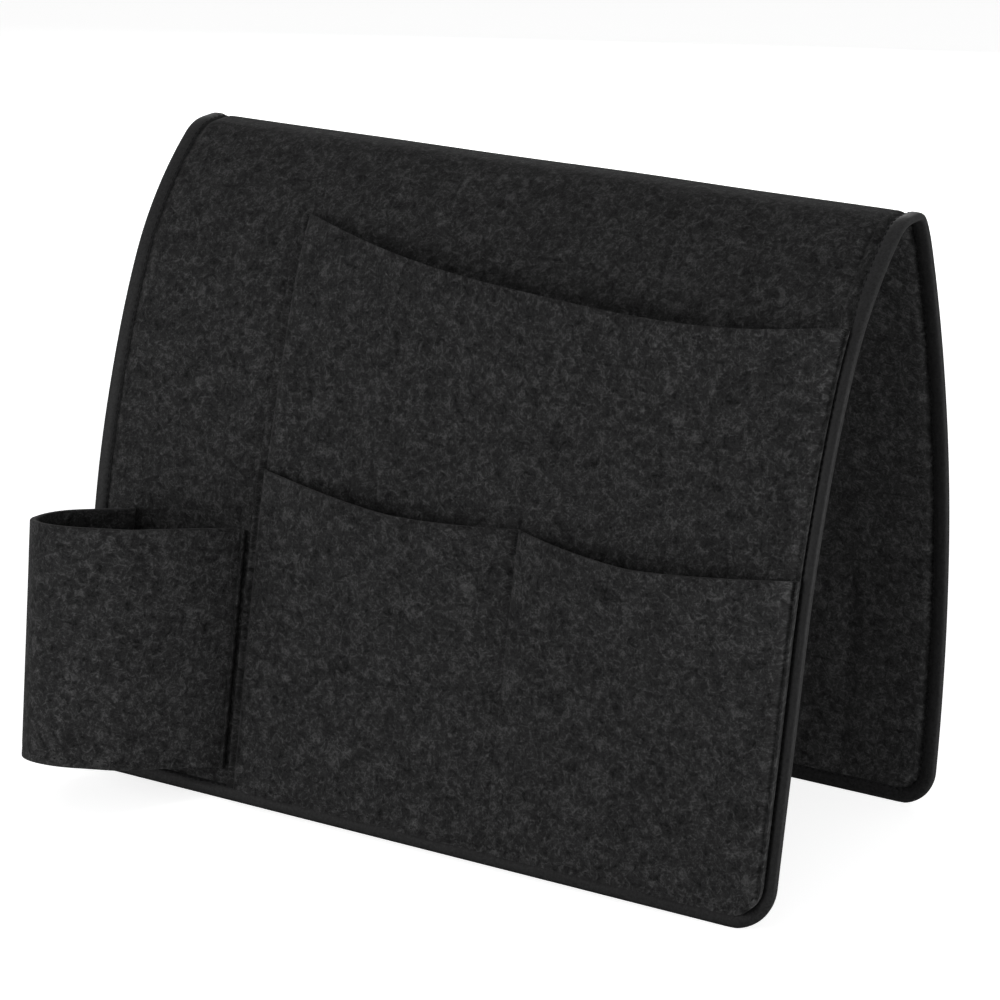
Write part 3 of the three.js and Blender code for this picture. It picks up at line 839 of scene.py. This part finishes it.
# The narrow strip outside the right seam stays partly pressed
def rightSeamDistance(x):
    return magazineRight - x if x < magazineRight else min(x - magazineRight, pocketPattern["pressed"])


def magazineDip(x, s):
    return seamDip(footSeamDistance(x, s), abs(x - magazineLeft), rightSeamDistance(x))


def onMagazine(x, s, d):
    widening = magazinePattern["spread"] * rising(s, magazineOpen, magazinePattern["mouthLeft"])
    dip = magazineDip(x, s) * clamp(d / pocketPattern["felt"])
    return drape(x - widening * (1 - magazineShare(x)), s, magazineInner(x, s) + d - dip)


def lowerShare(x):
    middle = lowerPattern["middle"]
    if x < middle:
        return clamp((x - lowerLeft) / (middle - lowerLeft))
    return clamp((x - middle) / (magazineRight - middle))


def lowerSide(x):
    return lowerPattern["left" if x < lowerPattern["middle"] else "right"]


def lowerMouth(x):
    share, pattern, side = lowerShare(x), lowerPattern, lowerSide(x)
    near, far = ("mouthLeft", "mouthMiddle") if x < pattern["middle"] else ("mouthMiddle", "mouthRight")
    level = lerp(pattern[near], pattern[far], share)
    return level - side["sag"] * fullSwell(share ** side["skew"], side["fullness"])


def lowerInner(x, s):
    opened = lowerSide(x)["gap"] * swell(lowerShare(x), lowerPattern["roundness"])
    opened *= rising(s, lowerPattern["openFrom"], lowerMouth(x))
    return magazineInner(x, s) + pocketPattern["felt"] - magazineDip(x, s) + pocketPattern["seat"] + opened


def onLower(x, s, d):
    sides = abs(x - lowerLeft), abs(x - lowerPattern["middle"]), rightSeamDistance(x)
    dip = seamDip(footSeamDistance(x, s), *sides) * pocketPattern["secondDip"]
    return drape(x, s, lowerInner(x, s) + d - dip * clamp(d / pocketPattern["felt"]))


# The rows of a front pocket are shares of its height, which changes along the mouth.
def frontPanel(name, leftEdge, seams, mouthAt, placeOn):
    pattern, height = pocketPattern, mouthAt(0)
    columns = crowded(leftEdge, pocketRight, seams, *pattern["columns"])
    coarse, fine = (cell / height for cell in pattern["rows"])
    rows = crowded(0, 1, [pattern["seamInset"] / height], coarse, fine, pattern["rowReach"])
    flatAt = lambda x, share: (
        x, lerp(pattern["foot"] + cornerCut(pocketRight - x, pocketCorner), mouthAt(x), share), 0.0)
    return feltPanel(name, columns, rows, pattern["felt"], flatAt, placeOn)


def upLine(x, start, end):
    return [(x, s) for s in steps(start, end, 4)]


def makeFrontPockets():
    foot, inset = pocketPattern["foot"], pocketPattern["seamInset"]
    middle = lowerPattern["middle"]
    magazine = frontPanel("magazinePocket", magazinePattern["leftEdge"], [magazineLeft, magazineRight],
                          magazineMouth, onMagazine)
    lower = frontPanel("lowerPockets", lowerPattern["leftEdge"], [lowerLeft, middle, magazineRight],
                       lowerMouth, onLower)
    top = pocketPattern["felt"]
    onMagazineTop = lambda x, s, d: onMagazine(x, s, top + d)
    onLowerTop = lambda x, s, d: onLower(x, s, top + d)
    behind = lambda x, s, d: drape(x, s, innerDip["front"] - sheetPattern["felt"] + d)
    # the foot seam turns up round the right corner
    cornerX, cornerS = pocketRight - pocketCorner, foot + pocketCorner
    across, up = pocketCorner - pocketPattern["rightInset"], pocketCorner - inset
    corner = [(cornerX + across * math.sin(angle), cornerS - up * math.cos(angle))
              for angle in steps(0, math.pi / 2, math.pi / 24)]
    footLine = [(x, foot + inset) for x in steps(lowerPattern["leftEdge"] + 1, cornerX, 4)]
    around = footLine + corner[1:] + upLine(magazineRight, cornerS, lowerMouth(magazineRight) - 1)[1:]
    tall = {x: upLine(x, magazineOpen - 6, magazineMouth(x) - 1) for x in (magazineLeft, magazineRight)}
    short = {x: upLine(x, foot + inset + 3, lowerMouth(x) - 1) for x in (lowerLeft, middle)}
    rows = [(line, onMagazineTop, 1) for line in tall.values()]
    rows += [(line, onLowerTop, 1) for line in (*short.values(), around)]
    rows += [(line, behind, -1) for line in (*tall.values(), *short.values(), around)]
    stitches = makeStitches("pocketStitches", rows, "front_leg")
    for piece in (magazine, lower):
        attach(piece, "front_leg")
    return magazine, lower, stitches


# Bar tacks
tackPattern = {
    "length": 8.0,
    "width": 2.1,
    "bars": 12,
    "thread": 0.62,
    "height": 0.6,
    "slant": 0.35,
    "bow": 0.3,
    "sides": 6,
    "rings": 5,
    "belowMouth": 0.9,
}


# Close zigzag bars of thread across the end of a seam
def tackPlaces(x, s, alongX, alongS, length, surfaceAt, side):
    pattern = tackPattern
    places = []
    for number in range(pattern["bars"]):
        middle = (number / (pattern["bars"] - 1) - 0.5) * length
        slant = pattern["slant"] if number % 2 else -pattern["slant"]

        def shapeBar(thin, up, wide, middle=middle, slant=slant):
            up = up * pattern["height"] - pattern["bow"] * (2 * wide) ** 2
            along = middle + thin * pattern["thread"] + slant * wide
            wide *= pattern["width"]
            atX, atS = x + alongX * along - alongS * wide, s + alongS * along + alongX * wide
            return surfaceAt(atX, atS, side * up)

        places.append(shapeBar)
    return places


def makeTacks(name, tacks, body):
    places = [place for tack in tacks for place in tackPlaces(*tack)]
    piece = finishPiece(name, beadMesh(places, tackPattern), threadLook)
    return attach(piece, body)


def makeFrontTacks():
    top, length = pocketPattern["felt"], tackPattern["length"]
    onMagazineTop = lambda x, s, d: onMagazine(x, s, top + d)
    onLowerTop = lambda x, s, d: onLower(x, s, top + d)
    drop = length / 2 + tackPattern["belowMouth"]
    tacks = [(x, magazineMouth(x) - drop, 0, 1, length, onMagazineTop, 1)
             for x in (magazineLeft, magazineRight)]
    tacks += [(x, lowerMouth(x) - drop, 0, 1, length, onLowerTop, 1)
              for x in (lowerLeft, lowerPattern["middle"], magazineRight)]
    return makeTacks("frontTacks", tacks, "front_leg")


# Cup pocket
cupPattern = {
    "felt": 3.0,
    "rightEdge": -106.4,
    "bottom": 15.3,
    "height": 121.0,
    "flange": 4.0,
    "flangeBend": 4.0,
    "sideAngle": 64.7,
    "side": 47.4,
    "frontRadius": 20.0,
    "frontTurn": 31.1,
    "front": 16.5,
    "farRadius": 26.0,
    "farLean": 38.0,
    "farBend": 3.0,
    "farFlange": 3.0,
    "rimFlare": 1.09,
    "bottomFlare": 0.92,
    "droop": 3.3,
    "droopAcross": 84.0,
    "droopOut": 50.0,
    "seamInset": 3.0,
    "seat": 0.12,
    "dip": 1.5,
    "dipReach": 1.5,
    "baseLift": 2.0,
    "baseSeam": 4.2,
    "baseDip": 0.15,
    "baseGap": 0.1,
    "baseCut": (70.0, 65.0),
    "columns": (3.0, 0.8, 6.0),
    "rows": (4.0, 0.9, 7.0),
    "wallStep": 2.5,
}


def makeCupPlan(pattern):
    start = pattern["seat"] + pattern["felt"] / 2
    bend = lambda radius, turn: (radius * math.radians(abs(turn)), turn)
    plan = [
        (pattern["flange"], 0), bend(pattern["flangeBend"], -pattern["sideAngle"]), (pattern["side"], 0),
        bend(pattern["frontRadius"], pattern["frontTurn"]), (pattern["front"], 0),
        bend(pattern["farRadius"], 90 + pattern["farLean"] + pattern["sideAngle"] - pattern["frontTurn"]),
    ]
    planKnots = [(0.0, 0.0, start, 90.0)]
    for length, turn in plan:
        at, u, v, heading = planKnots[-1]
        planKnots.append((at + length, *arcEnd(u, v, heading, length, turn), heading + turn))
    lean = math.radians(pattern["farLean"])
    reach = planKnots[-1][2] - start - pattern["farBend"] * (1 + math.sin(lean))
    for length, turn in ((reach / math.cos(lean), 0), bend(pattern["farBend"], -90 - pattern["farLean"]),
                         (pattern["farFlange"], 0)):
        plan.append((length, turn))
        at, u, v, heading = planKnots[-1]
        planKnots.append((at + length, *arcEnd(u, v, heading, length, turn), heading + turn))
    return plan, planKnots


cupPlan, cupKnots = makeCupPlan(cupPattern)
cupLength = cupKnots[-1][0]
cupRim = cupPattern["bottom"] + cupPattern["height"]


def cupPoint(along):
    piece = 0
    while piece + 1 < len(cupPlan) and along > cupKnots[piece + 1][0]:
        piece += 1
    at, u, v, heading = cupKnots[piece]
    length, turn = cupPlan[piece]
    share = (along - at) / length
    u, v = arcEnd(u, v, heading, along - at, turn * share)
    return u, v, math.radians(heading + turn * clamp(share))


def inCup(u, v, s):
    pattern = cupPattern
    flare = lerp(pattern["bottomFlare"], pattern["rimFlare"], (s - pattern["bottom"]) / pattern["height"])
    foot = pattern["seat"] + pattern["felt"]
    d = foot + (v - foot) * flare if v > foot else v
    x = pattern["rightEdge"] - u
    droop = pattern["droop"] * clamp(u / pattern["droopAcross"], 0, 1.1) ** 2 * clamp(v / pattern["droopOut"])
    return squareTo(x, s - droop, d + ripple(x, s))


def onCup(along, s, outwards):
    u, v, normal = cupPoint(along)
    return inCup(u - outwards * math.cos(normal), v + outwards * math.sin(normal), s)


def makeCupPocket():
    pattern = cupPattern
    felt, seams = pattern["felt"], (pattern["seamInset"], cupLength - pattern["seamInset"])
    baseSeam = pattern["bottom"] + pattern["baseSeam"]

    def onBand(along, s, d):
        dip = valley(min(abs(along - seam) for seam in seams), pattern["dip"], pattern["dipReach"])
        dip += valley(s - baseSeam, pattern["baseDip"], pattern["dipReach"])
        return onCup(along, s, d - felt / 2 - dip * clamp(d / felt))

    columns = crowded(0, cupLength, seams, *pattern["columns"])
    rows = crowded(pattern["bottom"], cupRim, [baseSeam], *pattern["rows"])
    band = feltPanel("cupPocket", columns, rows, felt, lambda x, s: (x, s, 0.0), onBand)
    # the base's outline follows the inside of the band and closes along the sheet
    around = steps(cupKnots[2][0], cupKnots[-3][0], pattern["wallStep"])
    wall, inside = [], felt / 2 + pattern["baseGap"]
    for along in around:
        u, v, normal = cupPoint(along)
        wall.append((u + inside * math.cos(normal), v - inside * math.sin(normal)))
    outline = wall + [(wall[-1][0], pattern["baseGap"]), (wall[0][0], pattern["baseGap"])]
    bm = bmesh.new()
    bm.faces.new([bm.verts.new((u, v, 0)) for u, v in outline])
    thicken(bm, felt)
    layPattern(bm, "cupBase")
    for vert in bm.verts:
        vert.co = inCup(vert.co.x, vert.co.y, pattern["bottom"] + pattern["baseLift"] + vert.co.z)
    bmesh.ops.recalc_face_normals(bm, faces=bm.faces[:])
    baseArea = max(face.calc_area() for face in bm.faces)
    base = finishPiece("cupBase", bm, feltLook, smooth=False)
    top = lambda along, s, d: onBand(along, s, felt + d)
    rows = [([(seam, s) for s in steps(pattern["bottom"] + 1, cupRim - 1, 4)], top, 1) for seam in seams]
    rows.append(([(along, baseSeam) for along in around], top, 1))
    stitches = makeStitches("cupStitches", rows, "front_leg")
    for piece in (band, base):
        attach(piece, "front_leg")
    return band, base, stitches, baseArea


# Back pocket
backPattern = {
    "fromEnd": 48.5,
    "mouth": 110.0,
    "sag": 3.0,
    "gap": 11.5,
    "openFrom": 18.0,
    "tack": 14.0,
    "tackDrop": 2.4,
    "tackPast": 1.0,
    "columns": (4.0, 0.9, 7.0),
    "rows": (0.04, 0.009, 0.06),
    "cutHeight": 101.0,
}
backHalf = half - backPattern["fromEnd"]
backSeam = backHalf - pocketPattern["seamInset"]


def backShare(x):
    return clamp((x + backSeam) / (2 * backSeam))


def backMouth(x):
    return backPattern["mouth"] - backPattern["sag"] * swell(backShare(x))


def onBack(x, rise, d):
    seamRise = pocketPattern["foot"] + pocketPattern["seamInset"]
    dip = seamDip(abs(rise - seamRise), abs(backSeam - abs(x)))
    opened = backPattern["gap"] * swell(backShare(x)) * rising(rise, backPattern["openFrom"], backMouth(x))
    lift = pocketPattern["seat"] + opened + d - dip * clamp(d / pocketPattern["felt"])
    return drape(x, sheetRise - rise, lift)


def makeBackPocket():
    pattern = backPattern
    foot, inset, felt = pocketPattern["foot"], pocketPattern["seamInset"], pocketPattern["felt"]
    columns = crowded(-backHalf, backHalf, [-backSeam, backSeam], *pattern["columns"])
    rows = crowded(0, 1, [inset / (pattern["mouth"] - foot)], *pattern["rows"])
    flatAt = lambda x, share: (x, lerp(foot, backMouth(x), share), 0.0)
    pocket = feltPanel("backPocket", columns, rows, felt, flatAt, onBack)
    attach(pocket, "back_leg")
    top = lambda x, rise, d: onBack(x, rise, felt + d)
    behind = lambda x, rise, d: drape(x, sheetRise - rise, innerDip["back"] - sheetPattern["felt"] + d)
    end = pattern["mouth"] - pattern["tackDrop"]
    line = [(-backSeam, rise) for rise in steps(end, foot + inset, 4)]
    line += [(x, foot + inset) for x in steps(-backSeam, backSeam, 4)][1:]
    line += [(backSeam, rise) for rise in steps(foot + inset, end, 4)][1:]
    stitches = makeStitches("backPocketStitches", [(line, top, 1), (line, behind, -1)], "back_leg")
    middle = backSeam - pattern["tack"] / 2 + pattern["tackPast"]
    tacks = [(side * middle, end, 1, 0, pattern["tack"], place, face)
             for side in (-1, 1) for place, face in ((top, 1), (behind, -1))]
    backTacks = makeTacks("backTacks", tacks, "back_leg")
    return pocket, stitches, backTacks


# Seams sewn through the sheet, which draw its inner face in
footSeam = pocketPattern["foot"] + pocketPattern["seamInset"]
innerDip = {"front": 0.5, "frontReach": 2.0, "back": 0.8, "backReach": 4.6, "backFoot": 0.6}
frontSeamTops = {
    magazineLeft: magazinePattern["mouthLeft"],
    magazineRight: magazinePattern["mouthRight"],
    lowerPattern["middle"]: lowerPattern["mouthMiddle"],
}
innerSeams = [
    {"distance": sideLine(line, footSeam, top), "depth": innerDip["front"], "reach": innerDip["frontReach"]}
    for line, top in frontSeamTops.items()
]
innerSeams += [
    {"distance": sideLine(line, sheetRise - backPattern["mouth"], sheetRise - footSeam),
     "depth": innerDip["back"], "reach": innerDip["backReach"]}
    for line in (-backSeam, backSeam)
]
innerSeams.append({
    "distance": lambda x, s: math.hypot(s - sheetRise + footSeam, max(0, abs(x) - backSeam)),
    "depth": innerDip["backFoot"], "reach": innerDip["frontReach"],
})

# Build
sheet = makeSheet()
print("sheet draped")
binding, edgeLength = makeBinding()
bindingStitches = makeBindingStitches()
print("edge bound")
magazinePocket, lowerPockets, pocketStitches = makeFrontPockets()
frontTacks = makeFrontTacks()
print("front pockets sewn on")
cupPocket, cupBase, cupStitches, baseArea = makeCupPocket()
print("cup pocket sewn on")
backPocket, backPocketStitches, backTacks = makeBackPocket()
print("back pocket sewn on")

# The sheet, its binding and their stitches keep their drape and are baked where they stand, joined to no
# body.
for piece in (sheet, binding, bindingStitches):
    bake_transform(piece)

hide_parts("front_sheet", "back_sheet")
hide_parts("front_binding", "back_binding")
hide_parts("front_binding_thread", "back_binding_thread")
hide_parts("magazine_pocket")
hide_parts("lower_pocket_panel")
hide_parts("magazine_seam_left", "magazine_seam_right", "lower_seam_left",
            "lower_seam_middle", "lower_seam_right", "lower_seam_bottom")
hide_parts("magazine_tack_left", "magazine_tack_right", "lower_tack_left", "lower_tack_middle",
            "lower_tack_right")
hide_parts("cup_pocket_band")
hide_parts("cup_pocket_base")
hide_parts("cup_seam_right", "cup_seam_left", "cup_base_thread")
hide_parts("back_pocket")
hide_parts("back_pocket_seam")
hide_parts("back_tack_left", "back_tack_right")



def flatSize(width, height):
    return width * mm, height * mm


flatSize(tapePattern["cutWidth"], edgeLength)
flatSize(cupLength, cupPattern["height"])
print("pieces joined to the frame")

# Stage, light and camera
# Places and sizes here are in metres.
stagePlan = {
    "floorSize": 14.0,
    "floorColour": (0.92, 0.92, 0.92),
    "floorLift": 0.715,
    "worldStrength": 0.20,
}
floorFinish = {"roughness": 0.9, "specular": 0.1}
middleAim = (0, 0, 0.15)
lampPlans = [
    {"name": "keyLamp", "place": (-0.85, -1.15, 0.30), "size": 0.8, "power": 10.5, "aim": middleAim},
    {"name": "fillLamp", "place": (2.2, -0.9, 0.45), "size": 1.2, "power": 20.0, "aim": middleAim},
    {"name": "topLamp", "place": (0.0, 0.1, 2.3), "size": 1.2, "power": 6.0, "aim": middleAim},
    {"name": "sideLamp", "place": (1.0, -0.02, 0.12), "size": 0.3, "power": 4.6, "aim": (0.1, 0.05, 0.12)},
    {"name": "backLamp", "place": (-0.7, 1.6, 0.5), "size": 1.0, "power": 7.0, "aim": middleAim},
]


def makeFloor():
    bm = bmesh.new()
    bmesh.ops.create_grid(bm, x_segments=1, y_segments=1, size=stagePlan["floorSize"] / 2)
    mesh = bpy.data.meshes.new("floor")
    bm.to_mesh(mesh)
    bm.free()
    floor = bpy.data.objects.new("floor", mesh)
    bpy.context.scene.collection.objects.link(floor)
    look, nodes, links, shader = newLook("paleFloor")
    shader.inputs["Base Color"].default_value = (*stagePlan["floorColour"], 1)
    setSurface(shader, floorFinish)
    seen = nodes.new("ShaderNodeLightPath").outputs["Is Camera Ray"]
    shader.inputs["Emission Color"].default_value = (1, 1, 1, 1)
    lift = maths(nodes, links, "MULTIPLY", seen, stagePlan["floorLift"])
    links.new(lift, shader.inputs["Emission Strength"])
    mesh.materials.append(look)
    return floor


def makeWorld():
    world = bpy.data.worlds.new("paleStudio")
    bpy.context.scene.world = world
    world.use_nodes = True
    nodes, links = world.node_tree.nodes, world.node_tree.links
    background = nodes["Background"]
    background.inputs["Color"].default_value = (1, 1, 1, 1)
    path = nodes.new("ShaderNodeLightPath")
    seen = maths(nodes, links, "MAXIMUM", path.outputs["Is Camera Ray"], path.outputs["Is Glossy Ray"])
    seen = maths(nodes, links, "MAXIMUM", seen, path.outputs["Is Transmission Ray"])
    strength = remap(nodes, links, seen, 0, 1, stagePlan["worldStrength"], 1.0)
    links.new(strength, background.inputs["Strength"])


def makeLamp(name, place, size, power, aim):
    lamp = bpy.data.lights.new(name, "AREA")
    lamp.shape = "DISK"
    lamp.size = size
    lamp.energy = power
    holder = bpy.data.objects.new(name, lamp)
    holder.location = place
    holder.rotation_euler = (Vector(aim) - Vector(place)).to_track_quat("-Z", "Y").to_euler()
    bpy.context.scene.collection.objects.link(holder)


cameraPlan = {
    "azimuth": 31.43,
    "elevation": 18.75,
    "pixelsFocal": 3700.0,
    "distance": 1811.0,
    "target": (2.4, 0.0, 151.0),
}


def makeCamera(plan):
    azimuth, elevation = math.radians(plan["azimuth"]), math.radians(plan["elevation"])
    back = Vector((math.sin(azimuth) * math.cos(elevation), -math.cos(azimuth) * math.cos(elevation),
                   math.sin(elevation)))
    target = Vector(plan["target"]) + Vector((0, shiftY, 0))
    lens = bpy.data.cameras.new("camera")
    lens.sensor_width = 36
    lens.lens = plan["pixelsFocal"] / 1000 * lens.sensor_width
    lens.clip_start, lens.clip_end = 0.05, 60
    camera = bpy.data.objects.new("camera", lens)
    camera.location = (target + back * plan["distance"]) * mm
    camera.rotation_euler = (-back).to_track_quat("-Z", "Y").to_euler()
    bpy.context.scene.collection.objects.link(camera)
    bpy.context.scene.camera = camera


makeFloor()
makeWorld()
for lampPlan in lampPlans:
    makeLamp(**lampPlan)
makeCamera(cameraPlan)
bpy.context.scene.view_settings.view_transform = "Standard"
print("stage lit")
